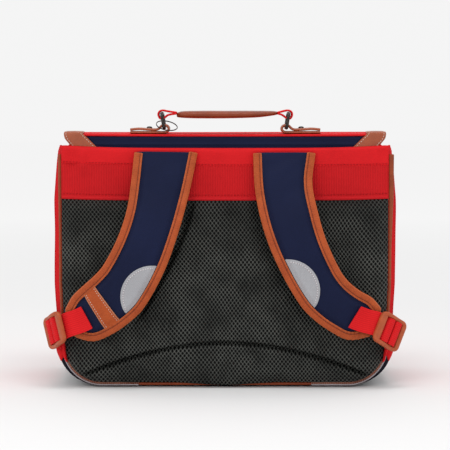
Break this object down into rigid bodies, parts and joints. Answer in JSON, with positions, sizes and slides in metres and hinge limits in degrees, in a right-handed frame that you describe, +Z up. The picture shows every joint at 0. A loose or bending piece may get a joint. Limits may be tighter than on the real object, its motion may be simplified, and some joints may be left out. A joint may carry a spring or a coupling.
{
  "type": "school satchel backpack",
  "caption": "Stiff box-shaped school satchel worn on the back, with a mesh back pad, padded shoulder straps on buckles, a lid flap over the front, piped edges and a leather carry handle.",
  "frame": {"origin": "middle of the satchel's bounding box in plan, on the surface its base rests on", "axes": "+Z up; +X to the right as the worn back is looked at; -Y is the worn back with the straps and +Y is the front with the lid's flap"},
  "size_m": [0.4086, 0.1974, 0.312],
  "materials": {
    "cloth_red": "coated weave",
    "webbing_red": "ribbed webbing",
    "cloth_navy": "coated weave",
    "mesh_grey": "spacer mesh",
    "leather_tan": "satin",
    "leather_dark": "satin",
    "plastic_tan": "satin",
    "reflective_grey": "retroreflective film on cloth",
    "gunmetal": "dark nickel"
  },
  "bodies": {
    "root": {"back_panel": "cloth_red", "front_panel": "cloth_red", "side_panel_left": "cloth_red", "side_panel_right": "cloth_red", "base_panel": "cloth_navy", "piping_back": "leather_tan", "piping_front": "leather_tan", "top_facing": "cloth_red", "top_lip": "cloth_red", "back_webbing": "webbing_red", "mesh_pad": "mesh_grey", "lid_rear": "cloth_navy", "lid": "cloth_red", "lid_corner_left": "leather_tan", "lid_corner_right": "leather_tan", "closure_tab_left": "leather_tan", "closure_tab_right": "leather_tan", "clasp_left": "gunmetal", "clasp_right": "gunmetal", "strap_left": "cloth_navy", "strap_right": "cloth_navy", "strap_binding_left": "leather_tan", "strap_binding_right": "leather_tan", "reflector_left": "reflective_grey", "reflector_right": "reflective_grey", "strap_keeper_left": "leather_tan", "buckle_left": "plastic_tan", "buckle_right": "plastic_tan", "strap_webbing_left": "webbing_red", "strap_webbing_right": "webbing_red", "seam_webbing_left": "webbing_red", "seam_webbing_right": "webbing_red", "handle_tab_left": "leather_tan", "handle_tab_right": "leather_tan", "handle_rivet_left": "gunmetal", "handle_rivet_right": "gunmetal", "handle_loop_left": "webbing_red", "handle_loop_right": "webbing_red", "handle_ring_left": "gunmetal", "handle_ring_right": "gunmetal", "handle_grip": "leather_dark", "key_ring": "gunmetal"}
  },
  "joints": []
}
